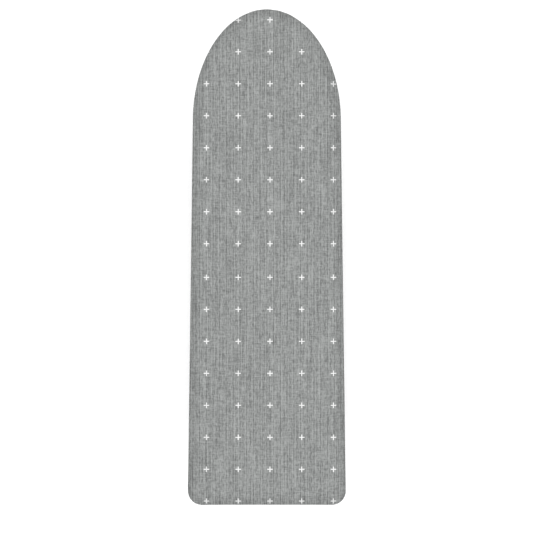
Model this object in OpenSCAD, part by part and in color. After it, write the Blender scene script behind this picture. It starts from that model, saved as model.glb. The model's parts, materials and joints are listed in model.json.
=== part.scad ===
// Folding ironing board: a padded, cloth-covered steel board on two crossed leg frames.
// Millimetres. +Z is up, +Y points at the rounded nose, and the origin is on the floor
// under the middle of the board.
//
// The outer leg frame hangs on a fixed axle near the tail. The inner leg frame carries an
// axle that slides in two rails near the nose. Both frames cross at the same distance from
// their upper pivots, so the sliding axle stays on one straight line at every height.
// A jaw on a plain rod grips anywhere along that line until the lever is squeezed.

/* [Board] */
// Length of the covered board
board_l = 1200; // [1080:10:1440]
// Width at the square tail
tail_w = 382; // [362:2:460]
// Width where the nose begins
shoulder_w = 358; // [340:2:430]
// Length of the rounded nose
nose_l = 268; // [220:2:320]
// Radius of the two tail corners
corner_r = 34; // [28:1:60]
// Height of the ironing surface above the floor
top_h = 900; // [750:10:1080]

/* [Soft layers] */
// Thickness of the cloth cover
cover_t = 1; // [0.6:0.2:2]
// Thickness of the foam pad
foam_t = 6; // [4:1:10]
// Thickness of the felt underlay
felt_t = 3; // [2:0.5:5]
// How far the cover turns in under the rim
hem_w = 20; // [18:1:22]
// Thickness of the elastic in the hem
elastic_d = 3; // [2:0.5:4]

/* [Deck, rim and cross members] */
// Thickness of the perforated steel deck
deck_t = 1; // [0.8:0.2:1.6]
// Diameter of a steam vent in the deck
vent_d = 16; // [10:1:18]
// Distance between neighbouring vents
vent_pitch = 32; // [28:1:40]
// Depth of the rim channel
rim_h = 16; // [14:1:24]
// Width of the rim channel's flanges
rim_w = 14; // [10:1:15]
// Wall of the rim channel
rim_t = 1.2; // [1:0.1:2]
// Width of a cross member
member_w = 30; // [24:1:36]
// Height of a cross member
member_h = 6; // [5:0.5:8]
// Wall of a cross member
member_t = 1.2; // [1:0.1:2]

/* [Legs] */
// Angle between each leg and the board at the height above
rest_angle = 51; // [46:1:56]
// Angle between each leg and the board at the highest setting
high_angle = 56; // [56:1:62]
// Angle between each leg and the board when folded
fold_angle = 2.5; // [2.5:0.5:5]
// Diameter of the leg tubes
leg_d = 22; // [18:1:26]
// Wall of the leg tubes
leg_t = 1.2; // [1:0.1:2]
// Distance from the middle to each outer leg tube
outer_x = 120; // [116:1:128]
// Distance from the tail to the fixed axle
hinge_inset = 120; // [100:5:150]
// Distance from the crossing down each leg to its brace
brace_below = 280; // [260:10:360]
// Diameter of the braces
brace_d = 16; // [12:1:18]

/* [Feet] */
// Diameter of the foot bars
foot_d = 25; // [20:1:30]
// Wall of the foot bars
foot_t = 1.5; // [1:0.1:2.5]
// Width of the outer leg's foot over its caps
outer_foot_w = 360; // [350:5:420]
// Width of the inner leg's foot over its caps
inner_foot_w = 340; // [300:5:400]
// Wall of the rubber foot caps
cap_wall = 3.5; // [2.5:0.5:6]
// Length of the foot caps
cap_l = 38; // [30:1:40]

/* [Pivots and rails] */
// Diameter of the fixed axle and of the sliding axle
axle_d = 12; // [10:1:14]
// Thickness of the hinge ears
ear_t = 3; // [2:0.5:4]
// Diameter of the bolts where the legs cross
bolt_d = 8; // [6:1:10]
// Diameter of the plastic glides
glide_d = 20; // [18:1:24]
// Length of the plastic glides
glide_l = 12; // [10:1:12]
// Wall of the guide rails
rail_t = 2; // [1.5:0.5:3]
// Width of the guide rails
rail_w = 16; // [16:1:18]
// Least length of the guide rails
rail_l = 520; // [500:5:540]

/* [Height lock] */
// Diameter of the lock rod
rod_d = 10; // [8:1:12]
// Distance from the sliding axle down to the rod
rod_drop = 14; // [14:1:17]
// Thickness of the gripping jaw
jaw_t = 6; // [5:0.5:7]
// Tilt at which the jaw grips the rod
jaw_tilt = 7; // [6:0.5:7]
// Distance from the jaw's pin to the rod
jaw_reach = 17; // [16:0.5:18]
// Turn of the squeeze lever
lever_turn = 12; // [10:1:14]
// Length of the lever's arm
lever_l = 58; // [50:1:70]
// Length of the lever's grip
grip_l = 64; // [50:1:80]

/* [Transport hook] */
// Reach of the hook below its pin
hook_reach = 50; // [48:1:54]
// Width of the hook's strap
hook_w = 10; // [8:1:14]
// Thickness of the hook's strap
hook_t = 3; // [2:0.5:4]

/* [Hidden] */
$fn = 48;

// Clearances
run_gap = 0.08;   // a pin turning in a bore, on the radius
weld_gap = 0.05;  // pieces welded or pressed together, so that they touch without overlapping
slide_gap = 0.3;  // plastic or steel sliding past steel
leg_gap = 1;      // a leg tube between its ears
wrap_gap = 0.5;   // the cover round the rim
under_gap = 1.3;  // a leg tube's eye under the cross members

// Colours
steel_paint = [0.80, 0.81, 0.82];
deck_paint = [0.93, 0.93, 0.92];
zinc = [0.68, 0.69, 0.71];
dark_plastic = [0.17, 0.18, 0.19];
rubber = [0.10, 0.10, 0.11];
cloth = [0.60, 0.61, 0.60];

// Heights, from the ironing surface down
felt_top = top_h - cover_t - foam_t;
deck_top = felt_top - felt_t;
rim_top = deck_top - deck_t;
member_z = rim_top - member_h;
glide_room = glide_d / 2 + slide_gap;
pivot_z = member_z - max(rail_t + glide_room, leg_d / 2 + under_gap);
cap_r = foot_d / 2 + cap_wall;

// ---------------------------------------------------------------- board outline

half_l = board_l / 2;
nose_b = shoulder_w / 2;
shoulder_y = half_l - nose_l;
taper = atan((tail_w - shoulder_w) / 2 / (board_l - nose_l - corner_r));
nose_join = atan(nose_l / nose_b * tan(taper));
corner_steps = 8;
nose_steps = 30;

function unit(v) = v / norm(v);
function nose_point(t) = [nose_b * cos(t), shoulder_y + nose_l * sin(t)];
function nose_normal(t) = unit([cos(t) / nose_b, sin(t) / nose_l]);

// Distance from the origin to the tapered side, along the side's normal
side_off = nose_point(nose_join) * [cos(taper), sin(taper)];
corner_y = corner_r - half_l;
corner_c = [(side_off - corner_r - corner_y * sin(taper)) / cos(taper), corner_y];

// Right half of the outline moved in by inset, from the tail to the tip of the nose
function right_half(inset) = concat(
    [for (i = [0:corner_steps])
        let (a = -90 + (90 + taper) * i / corner_steps)
        corner_c + (corner_r - inset) * [cos(a), sin(a)]],
    [for (i = [0:nose_steps])
        let (t = nose_join + (90 - nose_join) * i / nose_steps)
        nose_point(t) - inset * nose_normal(t)]
);

function outline(inset) =
    let (right = right_half(inset))
    concat(right, [for (i = [len(right) - 2:-1:0]) [-right[i].x, right[i].y]]);

// Where the outline, moved in by inset, is still as wide as x
function nose_y_at(x, inset) =
    let (a = nose_l - inset, b = nose_b - inset)
    shoulder_y + a * sqrt(1 - pow(x / b, 2));

// True where a disc of radius r about the point lies on the deck
function on_deck(x, y, r) =
    y < shoulder_y
        ? abs(x) + r < side_off - y * sin(taper) && y - r > -half_l
        : pow(x / (nose_b - r), 2) + pow((y - shoulder_y) / (nose_l - r), 2) < 1;

// ---------------------------------------------------------------- where things lie

// Rails stand between the inner and the outer leg tubes
rail_side_gap = 3;
rail_out_x = outer_x - leg_d / 2 - rail_side_gap;
inner_x = rail_out_x - rail_w - rail_side_gap - leg_d / 2;
hem_room = hem_w + elastic_d + 2;
stop_t = 3;
rail_nose_y = nose_y_at(rail_out_x, hem_room) - stop_t;

// Both feet stand on the floor, and both frames cross equally far below their pivots
hinge_y = hinge_inset - half_l;
leg_l = (pivot_z - cap_r) / sin(rest_angle);
slide_fold_y = rail_nose_y - glide_d / 2 - 4;
cross_at = (slide_fold_y - hinge_y) / (2 * cos(fold_angle));
slide_y = hinge_y + 2 * cross_at * cos(rest_angle);
slide_high_y = hinge_y + 2 * cross_at * cos(high_angle);
brace_at = cross_at + brace_below;

// Pins of the lock carriage, from the middle of the sliding axle
jaw_pin_y = -38;
jaw_pin_z = jaw_reach * cos(jaw_tilt) - rod_drop;
jaw_push = 28;     // from the jaw's pin to where the lever pushes it
lever_set = 8.7;   // from the jaw's pin back to the lever's
lever_lug_r = 7;
// The lever's short arm moves the jaw through its whole tilt in one squeeze
lever_rise = jaw_push * sin(jaw_tilt) / sin(lever_turn);
lever_pin_y = jaw_pin_y - lever_set;
lever_pin_z = jaw_pin_z - jaw_push * cos(jaw_tilt) - lever_rise;
carriage_tail = lever_pin_y - lever_lug_r;

// Lock rod, between two brackets that the carriage never reaches
bracket_t = 4;
carriage_gap = 2;
rod_z = pivot_z - rod_drop;
rod_tail_y = slide_high_y + carriage_tail - bracket_t / 2 - carriage_gap;
rod_nose_y = rail_nose_y + 8;

// The rails reach past the rod's tail bracket, however short they are set
rail_over = 14;
rail_tail_y = min(rail_nose_y - rail_l, rod_tail_y - rail_over);
rail_reach = rail_nose_y - rail_tail_y;

// Hook for the inner brace of the folded legs
hook_y = slide_fold_y - brace_at * cos(fold_angle) - 22;

// Cross members carry the hinge ears, the hook, the rails and the rod's brackets
member_y = [
    hinge_y,
    hook_y,
    rod_tail_y,
    (rod_tail_y + rail_nose_y) / 2,
    rail_nose_y - 2
];

// ---------------------------------------------------------------- small shapes

// A cylinder along X, centred on the given point
module rod_x(r, l, at = [0, 0, 0]) {
    translate(at) rotate([0, 90, 0]) cylinder(h = l, r = r, center = true);
}

// A cylinder along +Y from the given point
module rod_y(r, l, at = [0, 0, 0]) {
    translate(at) rotate([-90, 0, 0]) cylinder(h = l, r = r);
}

// A rectangle with round corners, centred on x and standing on y = 0
module round_box(w, l, r) {
    polygon([for (c = [[1, 1], [-1, 1], [-1, -1], [1, -1]], i = [0:6])
        let (a = atan2(c.y, c.x) - 45 + 15 * i)
        [c.x * (w / 2 - r) + r * cos(a), l / 2 + c.y * (l / 2 - r) + r * sin(a)]]);
}

// Children and their mirror image across the board's middle
module both_sides() {
    children();
    mirror([1, 0, 0]) children();
}

// ---------------------------------------------------------------- soft layers

module slab(inset, z0, z1) {
    translate([0, 0, z0]) linear_extrude(z1 - z0) polygon(outline(inset));
}

cover_bottom = rim_top - rim_h - cover_t - 0.2;

module cover() {
    color(cloth) difference() {
        slab(0, cover_bottom, top_h);
        slab(cover_t, cover_bottom + cover_t, top_h - cover_t);
        slab(hem_w, cover_bottom - 1, cover_bottom + cover_t + 1);
    }
}

// A loop of elastic sewn to the inner edge of the cover
module hem_elastic() {
    bottom = cover_bottom - 0.5;
    color("white") difference() {
        slab(hem_w + weld_gap, bottom, bottom + elastic_d);
        slab(hem_w + elastic_d, bottom - 1, bottom + elastic_d + 1);
    }
}

module foam_pad() {
    color("ivory") slab(cover_t, felt_top, top_h - cover_t);
}

module felt_underlay() {
    color("gainsboro") slab(cover_t, deck_top, felt_top);
}

// ---------------------------------------------------------------- deck, rim, cross members

rim_inset = cover_t + wrap_gap;

module deck() {
    rows = ceil(board_l / vent_pitch);
    columns = ceil(tail_w / vent_pitch / 2);
    edge = rim_inset + rim_w + vent_d / 2 + 4;
    clear = (member_w + vent_d) / 2 + 1;
    color(deck_paint) translate([0, 0, rim_top]) linear_extrude(deck_t) difference() {
        polygon(outline(rim_inset));
        for (j = [0:rows], i = [-columns:columns])
            let (
                x = (i + (j % 2) / 2) * vent_pitch,
                y = j * vent_pitch * sin(60) - half_l + vent_pitch,
                away = min([for (m = member_y) abs(m - y)])
            )
            if (on_deck(x, y, edge) && away > clear)
                translate([x, y]) circle(d = vent_d);
    }
}

// A channel that runs round the edge with its open side inwards
module rim() {
    color(deck_paint) difference() {
        slab(rim_inset, rim_top - rim_h, rim_top);
        slab(rim_inset + rim_t, rim_top - rim_h + rim_t, rim_top - rim_t);
        slab(rim_inset + rim_w, rim_top - rim_h - 1, rim_top + 1);
    }
}

// A shallow channel, open upwards, that the deck lies on; its ends meet the rim
module cross_member(y) {
    color(deck_paint) intersection() {
        translate([-tail_w / 2, y - member_w / 2, member_z]) difference() {
            cube([tail_w, member_w, member_h]);
            translate([-1, member_t, member_t])
                cube([tail_w + 2, member_w - 2 * member_t, member_h]);
        }
        slab(rim_inset + rim_w + weld_gap, member_z - 1, rim_top);
    }
}

// ---------------------------------------------------------------- rails for the sliding axle

// A C-shaped rail for one side, open towards the middle
rail_bottom = pivot_z - glide_room - rail_t;

module guide_rail() {
    color(zinc) translate([rail_out_x - rail_w, rail_tail_y, rail_bottom]) difference() {
        cube([rail_w, rail_reach, member_z - rail_bottom]);
        translate([-1, -1, rail_t]) cube([rail_w - rail_t + 1, rail_reach + 2, 2 * glide_room]);
    }
}

// The tail stops sit inside the rails, where the carriage comes close to the rod's bracket
module rail_stops() {
    color(zinc) both_sides() {
        translate([rail_out_x - rail_w, slide_high_y - glide_room - stop_t, rail_bottom + rail_t])
            cube([rail_w - rail_t, stop_t, 2 * glide_room]);
        translate([rail_out_x - rail_w, rail_nose_y, rail_bottom])
            cube([rail_w, stop_t, member_z - rail_bottom]);
    }
}

// ---------------------------------------------------------------- fixed hinge of the outer legs

ear_r = axle_d / 2 + 7;
ear_in_x = outer_x - leg_d / 2 - leg_gap - ear_t;
ear_out_x = outer_x + leg_d / 2 + leg_gap;

// A hanging plate, round about its bore, with a flat top at drop above the bore's middle
module ear_outline(r, bore_r, drop) {
    difference() {
        union() {
            circle(r);
            translate([-r, 0]) square([2 * r, drop]);
        }
        circle(bore_r);
        translate([-r, drop]) square(2 * r);
    }
}

module ear(r, bore_r, t, drop) {
    rotate([90, 0, 90]) linear_extrude(t) ear_outline(r, bore_r, drop);
}

module hinge_ears() {
    color(zinc) for (x = [ear_in_x, ear_out_x])
        translate([x, hinge_y, pivot_z])
            ear(ear_r, axle_d / 2 + weld_gap, ear_t, member_z - pivot_z);
}

axle_end_x = ear_out_x + ear_t + 5;

module hinge_axle() {
    color(zinc) rod_x(axle_d / 2, 2 * axle_end_x, [0, hinge_y, pivot_z]);
}

// A domed push-on cap, turned about X with its flat face at x = 0
module axle_cap(bore_r, depth) {
    r = bore_r + 4;
    color(dark_plastic) rotate([0, 90, 0]) rotate_extrude() polygon(concat(
        [[bore_r, 0], [r, 0]],
        [for (a = [0:15:90]) [r - 3 + 3 * cos(a), depth - 1 + 3 * sin(a)]],
        [[0, depth + 2], [0, depth], [bore_r, depth]]
    ));
}

module hinge_axle_caps() {
    both_sides() translate([ear_out_x + ear_t + weld_gap, hinge_y, pivot_z])
        axle_cap(axle_d / 2 + weld_gap, 5);
}

// ---------------------------------------------------------------- leg frames

// Puts children in the outer leg's own frame: Y runs down the leg from the fixed axle
module on_outer_leg() {
    translate([0, hinge_y, pivot_z]) rotate([-rest_angle, 0, 0]) children();
}

// Puts children in the inner leg's own frame: Y runs down the leg from the sliding axle
module on_inner_leg() {
    translate([0, slide_y, pivot_z]) rotate([180 + rest_angle, 0, 0]) children();
}

// A leg tube with a solid, rounded eye at its upper pivot and a saddle on the foot bar
module leg_tube(eye_bore_r, cross_bore_r) {
    r = leg_d / 2;
    eye_r = r + 0.5;
    eye_l = axle_d / 2 + 8;
    color(steel_paint) difference() {
        rod_y(r, leg_l + eye_r, [0, -eye_r, 0]);
        rod_y(r - leg_t, leg_l, [0, eye_l, 0]);
        difference() {
            translate([-leg_d, -leg_d, -leg_d]) cube([2 * leg_d, leg_d, 2 * leg_d]);
            rod_x(eye_r, leg_d * 2);
        }
        rod_x(eye_bore_r, leg_d + 2);
        rod_x(cross_bore_r, leg_d + 2, [0, cross_at, 0]);
        rod_x(foot_d / 2 + weld_gap, leg_d + 2, [0, leg_l, 0]);
    }
}

module foot_bar(width) {
    end_wall = cap_l - cap_depth;
    color(steel_paint) translate([0, leg_l, 0]) difference() {
        rod_x(foot_d / 2, width - 2 * end_wall - 2 * weld_gap);
        rod_x(foot_d / 2 - foot_t, width);
    }
}

cap_depth = cap_l - 8;

// A rubber cap for the right end of a foot bar of the given width
module foot_cap(width) {
    bore_r = foot_d / 2 + weld_gap;
    round_r = 5;
    color(rubber) translate([width / 2 - cap_l, leg_l, 0]) rotate([0, 90, 0])
        rotate_extrude() polygon(concat(
            [[bore_r, 0], [cap_r - 1, 0], [cap_r, 1]],
            [for (a = [0:15:90])
                [cap_r - round_r + round_r * cos(a), cap_l - round_r + round_r * sin(a)]],
            [[0, cap_l], [0, cap_depth], [bore_r, cap_depth]]
        ));
}

// A tube between two leg tubes at plus and minus x, with its ends cut to fit them
module brace(x) {
    color(steel_paint) translate([0, brace_at, 0]) difference() {
        rod_x(brace_d / 2, 2 * x);
        rod_x(brace_d / 2 - leg_t, 2 * x + 2);
        both_sides() rod_y(leg_d / 2 + weld_gap, leg_d * 2, [x, -leg_d, 0]);
    }
}

// ---------------------------------------------------------------- crossing pivots

washer_t = 1.5;
nut_t = 6;
bolt_head_t = 5;
nut_x = inner_x - leg_d / 2 - slide_gap - washer_t - nut_t;
bolt_head_x = outer_x + leg_d / 2;

module at_crossing() {
    both_sides() on_outer_leg() translate([0, cross_at, 0]) children();
}

module pivot_bolts() {
    color(zinc) at_crossing() {
        translate([nut_x, 0, 0]) rotate([0, 90, 0])
            cylinder(h = bolt_head_x + 1 - nut_x, d = bolt_d);
        translate([bolt_head_x + weld_gap, 0, 0]) rotate([0, 90, 0])
            cylinder(h = bolt_head_t, r1 = bolt_d, r2 = bolt_d * 0.7);
    }
}

module pivot_nuts() {
    color(zinc) at_crossing() translate([nut_x, 0, 0]) rotate([0, 90, 0]) difference() {
        cylinder(h = nut_t, d = bolt_d * 1.8, $fn = 6);
        translate([0, 0, -1]) cylinder(h = nut_t + 2, r = bolt_d / 2 + weld_gap);
    }
}

// A ring about the crossing bolt, from x0 to x1
module bolt_ring(r, x0, x1) {
    translate([x0, 0, 0]) rotate([0, 90, 0]) difference() {
        cylinder(h = x1 - x0, r = r);
        translate([0, 0, -1]) cylinder(h = x1 - x0 + 2, r = bolt_d / 2 + weld_gap);
    }
}

module pivot_washers() {
    washer_x = nut_x + nut_t;
    color(zinc) at_crossing() bolt_ring(bolt_d + 1, washer_x, washer_x + washer_t);
}

module pivot_spacers() {
    color(dark_plastic) at_crossing()
        bolt_ring(bolt_d / 2 + 3, inner_x + leg_d / 2 + slide_gap, outer_x - leg_d / 2 - weld_gap);
}

// ---------------------------------------------------------------- sliding axle

glide_x = rail_out_x - rail_t - slide_gap - glide_l;

module slide_axle() {
    color(zinc) rod_x(axle_d / 2, 2 * (glide_x + glide_l - 1), [0, slide_y, pivot_z]);
}

module glide() {
    color(dark_plastic) translate([glide_x, slide_y, pivot_z]) rotate([0, 90, 0])
        rotate_extrude() polygon([
            [axle_d / 2 + weld_gap, 0], [glide_d / 2 - 1, 0], [glide_d / 2, 1],
            [glide_d / 2, glide_l - 1], [glide_d / 2 - 1, glide_l],
            [axle_d / 2 + weld_gap, glide_l]
        ]);
}

// ---------------------------------------------------------------- lock rod

module lock_rod() {
    over = bracket_t / 2 + 9;
    color(zinc) rod_y(rod_d / 2, rod_nose_y - rod_tail_y + 2 * over,
        [0, rod_tail_y - over, rod_z]);
}

module rod_brackets() {
    r = rod_d / 2 + 7;
    color(deck_paint) for (y = [rod_tail_y, rod_nose_y])
        translate([0, y + bracket_t / 2, rod_z]) rotate([90, 0, 0])
            linear_extrude(bracket_t)
                ear_outline(r, rod_d / 2 + weld_gap, member_z - rod_z);
}

// A nut on the outside of each bracket
module rod_nuts() {
    color(zinc) for (y = [rod_tail_y - bracket_t / 2 - nut_t, rod_nose_y + bracket_t / 2])
        translate([0, y, rod_z]) rotate([-90, 0, 0]) difference() {
            cylinder(h = nut_t, d = rod_d * 1.7, $fn = 6);
            translate([0, 0, -1]) cylinder(h = nut_t + 2, r = rod_d / 2 + weld_gap);
        }
}

// ---------------------------------------------------------------- lock carriage
// Places here are measured from the middle of the sliding axle.

block_x = 18;
block_tail = -12;
block_nose = 14;
cheek_t = 4;
pin_r = 2;
jaw_w = 2 * (block_x - cheek_t) - 4;
knuckle_r = 4;
jaw_l = 34;
rod_bore_r = rod_d / 2 + slide_gap;
lever_pin_r = 2.5;
lever_nose_r = 3;

module at_slide() {
    translate([0, slide_y, pivot_z]) children();
}

// Side plate of the carriage, seen along X
module cheek_profile() {
    top = jaw_pin_z + knuckle_r + 1;
    translate([carriage_tail, lever_pin_z + 9])
        square([block_tail + 1 - carriage_tail, top - lever_pin_z - 9]);
    translate([carriage_tail, lever_pin_z]) square([14, 10]);
    translate([lever_pin_y, lever_pin_z]) circle(lever_lug_r);
}

module carriage_block() {
    bottom = -rod_drop - rod_d / 2 - 5;
    color(dark_plastic) at_slide() difference() {
        union() {
            translate([-block_x, block_tail, bottom])
                cube([2 * block_x, block_nose - block_tail, axle_d / 2 + 3 - bottom]);
            both_sides() translate([block_x - cheek_t, 0, 0]) rotate([90, 0, 90])
                linear_extrude(cheek_t) cheek_profile();
        }
        rod_x(axle_d / 2 + run_gap, 2 * block_x + 2);
        rod_y(rod_bore_r, 100, [0, -50, -rod_drop]);
        rod_x(pin_r + weld_gap, 2 * block_x + 2, [0, jaw_pin_y, jaw_pin_z]);
        rod_x(lever_pin_r + weld_gap, 2 * block_x + 2, [0, lever_pin_y, lever_pin_z]);
    }
}

module jaw_pin() {
    color(zinc) at_slide() rod_x(pin_r, 2 * block_x + 2, [0, jaw_pin_y, jaw_pin_z]);
}

module lever_pin() {
    color(zinc) at_slide() rod_x(lever_pin_r, 2 * block_x + 2, [0, lever_pin_y, lever_pin_z]);
}

// The jaw leans to the tail at its lower end, so a pull towards the nose tightens its grip
module lock_jaw() {
    bore_r = jaw_bore_r;
    color(zinc) at_slide() translate([0, jaw_pin_y, jaw_pin_z]) rotate([-jaw_tilt, 0, 0])
        difference() {
            union() {
                rod_x(knuckle_r, jaw_w);
                translate([-jaw_w / 2, -jaw_t / 2, -jaw_l]) cube([jaw_w, jaw_t, jaw_l]);
            }
            rod_x(pin_r + run_gap, jaw_w + 2);
            rod_y(bore_r, jaw_t + 2, [0, -jaw_t / 2 - 1, -jaw_reach]);
        }
}

// Bore whose two edges just miss the rod when the jaw is tilted
jaw_bite_gap = 0.05;
jaw_bore_r = (rod_d / 2 + jaw_bite_gap + jaw_t / 2 * sin(jaw_tilt)) / cos(jaw_tilt);

wire_d = 1.4;

// A coil round the rod that pushes the jaw back to its tilt
module jaw_spring() {
    steps = 60;
    sides = 6;
    turn = 30;
    coil_r = rod_d / 2 + wire_d / 2 + 0.8;
    from = jaw_pin_y + jaw_t / 2 - 0.8 + wire_d / 2;
    to = block_tail - wire_d / 2 - 0.1;
    rings = [for (i = [0:steps], k = [0:sides - 1])
        let (
            r = coil_r + wire_d / 2 * cos(360 * k / sides),
            y = from + (to - from) * i / steps + wire_d / 2 * sin(360 * k / sides)
        )
        [r * cos(turn * i), y, r * sin(turn * i) - rod_drop]];
    skin = [for (i = [0:steps - 1], k = [0:sides - 1])
        let (j = (k + 1) % sides)
        [i * sides + k, (i + 1) * sides + k, (i + 1) * sides + j, i * sides + j]];
    ends = [[for (k = [sides - 1:-1:0]) k], [for (k = [0:sides - 1]) steps * sides + k]];
    color(zinc) at_slide() polyhedron(points = rings, faces = concat(skin, ends), convexity = 6);
}

// ---------------------------------------------------------------- squeeze lever

lever_slope = 8;
lever_t = 5;
lever_w = 20;
hub_r = 6;
hub_w = 2 * (block_x - cheek_t) - 1;
grip_w = 30;
grip_t = 12;
grip_from = 50;

module on_lever() {
    at_slide() translate([0, lever_pin_y, lever_pin_z]) children();
}

module lever_arm() {
    nose = [0, -0.9, lever_rise];
    color(zinc) on_lever() difference() {
        union() {
            rod_x(hub_r, hub_w);
            rod_x(lever_nose_r, lever_w, nose);
            translate([-lever_w / 2, nose.y - 3, 0]) cube([lever_w, 3.5, lever_rise]);
            rotate([lever_slope, 0, 0]) translate([-lever_w / 2, -grip_from - lever_l, -lever_t / 2])
                cube([lever_w, grip_from + lever_l, lever_t]);
        }
        rod_x(lever_pin_r + run_gap, hub_w + 2);
    }
}

// A moulded grip pushed over the end of the arm, rounded from above and from the side
module lever_grip() {
    end = grip_from + lever_l + 4;
    color(dark_plastic) on_lever() rotate([lever_slope, 0, 0]) difference() {
        intersection() {
            translate([0, -end, -grip_t]) linear_extrude(2 * grip_t)
                round_box(grip_w, grip_l, 9);
            translate([-grip_w, -end, 0]) rotate([90, 0, 90]) linear_extrude(2 * grip_w)
                translate([grip_l / 2, -grip_t / 2]) round_box(grip_l, grip_t, 4);
        }
        translate([-lever_w / 2 - weld_gap, -grip_from - lever_l - weld_gap, -lever_t / 2 - weld_gap])
            cube([lever_w + 2 * weld_gap, end, lever_t + 2 * weld_gap]);
    }
}

// ---------------------------------------------------------------- transport hook
// Stowed along the board; it swings down to catch the inner brace when the legs are folded.

hook_pin_r = 2;
hook_pin_z = member_z - 7;
hook_gap = 0.5;
hook_x = hook_w / 2 + hook_gap;
hook_foot = 32;
hook_lip = 5;

module hook_bracket() {
    ear_thick = 2;
    color(zinc) for (x = [-hook_x - ear_thick, hook_x])
        translate([x, hook_y, hook_pin_z])
            ear(5, hook_pin_r + weld_gap, ear_thick, member_z - hook_pin_z);
}

module hook_pin() {
    color(zinc) rod_x(hook_pin_r, 2 * hook_x + 6, [0, hook_y, hook_pin_z]);
}

// Drawn hanging, then turned up to its stowed place
module transport_hook() {
    color(dark_plastic) translate([0, hook_y, hook_pin_z]) rotate([-90, 0, 0]) difference() {
        union() {
            rod_x(hook_pin_r + 2.5, hook_w);
            translate([-hook_w / 2, -hook_t / 2, -hook_reach - hook_t])
                cube([hook_w, hook_t, hook_reach + hook_t]);
            translate([-hook_w / 2, -hook_t / 2, -hook_reach - hook_t])
                cube([hook_w, hook_foot + hook_t, hook_t]);
            translate([-hook_w / 2, hook_foot - hook_t / 2, -hook_reach - hook_t])
                cube([hook_w, hook_t, hook_t + hook_lip]);
        }
        rod_x(hook_pin_r + run_gap, hook_w + 2);
    }
}

// ---------------------------------------------------------------- nodes

cover();
hem_elastic();
foam_pad();
felt_underlay();
deck();
rim();
for (i = [1:5])
    cross_member(member_y[i - 1]);
guide_rail();  // guide_rail_right
mirror([1, 0, 0]) guide_rail();  // guide_rail_left
rail_stops();
lock_rod();
rod_brackets();
rod_nuts();
hinge_ears();  // hinge_ears_right
mirror([1, 0, 0]) hinge_ears();  // hinge_ears_left
hinge_axle();
hinge_axle_caps();
hook_bracket();
hook_pin();
transport_hook();

on_outer_leg() translate([outer_x, 0, 0]) leg_tube(axle_d / 2 + run_gap, bolt_d / 2 + weld_gap);  // outer_tube_right
on_outer_leg() translate([-outer_x, 0, 0]) leg_tube(axle_d / 2 + run_gap, bolt_d / 2 + weld_gap);  // outer_tube_left
on_outer_leg() foot_bar(outer_foot_w);  // outer_foot_bar
on_outer_leg() foot_cap(outer_foot_w);  // outer_foot_cap_right
mirror([1, 0, 0]) on_outer_leg() foot_cap(outer_foot_w);  // outer_foot_cap_left
on_outer_leg() brace(outer_x);  // outer_brace
pivot_bolts();
pivot_nuts();
pivot_washers();
pivot_spacers();

on_inner_leg() translate([inner_x, 0, 0]) leg_tube(axle_d / 2 + weld_gap, bolt_d / 2 + run_gap);  // inner_tube_right
on_inner_leg() translate([-inner_x, 0, 0]) leg_tube(axle_d / 2 + weld_gap, bolt_d / 2 + run_gap);  // inner_tube_left
on_inner_leg() foot_bar(inner_foot_w);  // inner_foot_bar
on_inner_leg() foot_cap(inner_foot_w);  // inner_foot_cap_right
mirror([1, 0, 0]) on_inner_leg() foot_cap(inner_foot_w);  // inner_foot_cap_left
on_inner_leg() brace(inner_x);  // inner_brace
slide_axle();
glide();  // glide_right
mirror([1, 0, 0]) glide();  // glide_left
carriage_block();
jaw_pin();
lever_pin();
jaw_spring();
lock_jaw();
lever_arm();
lever_grip();
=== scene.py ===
import json
import math
import random

import bmesh
import bpy
import numpy as np
from mathutils import Matrix, Vector

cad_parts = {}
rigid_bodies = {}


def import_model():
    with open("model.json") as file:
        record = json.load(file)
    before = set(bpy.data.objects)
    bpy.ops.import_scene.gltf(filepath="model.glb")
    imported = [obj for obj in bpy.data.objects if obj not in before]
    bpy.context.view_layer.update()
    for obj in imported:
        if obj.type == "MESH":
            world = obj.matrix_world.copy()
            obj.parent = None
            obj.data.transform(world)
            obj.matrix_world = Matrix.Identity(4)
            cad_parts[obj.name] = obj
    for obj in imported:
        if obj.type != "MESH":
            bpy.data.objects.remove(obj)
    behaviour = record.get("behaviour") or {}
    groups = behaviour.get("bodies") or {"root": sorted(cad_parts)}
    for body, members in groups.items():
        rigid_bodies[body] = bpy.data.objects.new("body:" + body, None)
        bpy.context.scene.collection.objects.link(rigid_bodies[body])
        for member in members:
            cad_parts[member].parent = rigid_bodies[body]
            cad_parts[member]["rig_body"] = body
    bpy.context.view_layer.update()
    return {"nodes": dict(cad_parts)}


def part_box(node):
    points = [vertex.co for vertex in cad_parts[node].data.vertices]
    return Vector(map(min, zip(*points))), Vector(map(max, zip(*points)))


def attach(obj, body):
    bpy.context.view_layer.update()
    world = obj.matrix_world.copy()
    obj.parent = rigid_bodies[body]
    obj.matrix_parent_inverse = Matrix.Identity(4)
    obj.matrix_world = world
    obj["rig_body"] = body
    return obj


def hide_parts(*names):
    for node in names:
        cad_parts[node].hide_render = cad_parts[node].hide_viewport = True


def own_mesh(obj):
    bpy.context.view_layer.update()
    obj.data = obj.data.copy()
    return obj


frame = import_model()
nodes = frame["nodes"]

# ------------------------------------------------------------------ deck, rim, cross members
# The deck is one sheet of perforated steel on five shallow channels, with a pressed rim channel
# welded round its edge. All of it is powder coated white as one welded piece.


def plug_in(tree, node, values):
    """Sets a node's inputs by name or number; an output given as the value is joined to it."""
    for name, value in values.items():
        if isinstance(value, bpy.types.NodeSocket):
            tree.links.new(value, node.inputs[name])
        else:
            node.inputs[name].default_value = value


def shade(tree, kind, values, **settings):
    """A new shader node with its settings and inputs; gives back the node."""
    node = tree.nodes.new(kind)
    for name, value in settings.items():
        setattr(node, name, value)
    plug_in(tree, node, values)
    return node


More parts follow.
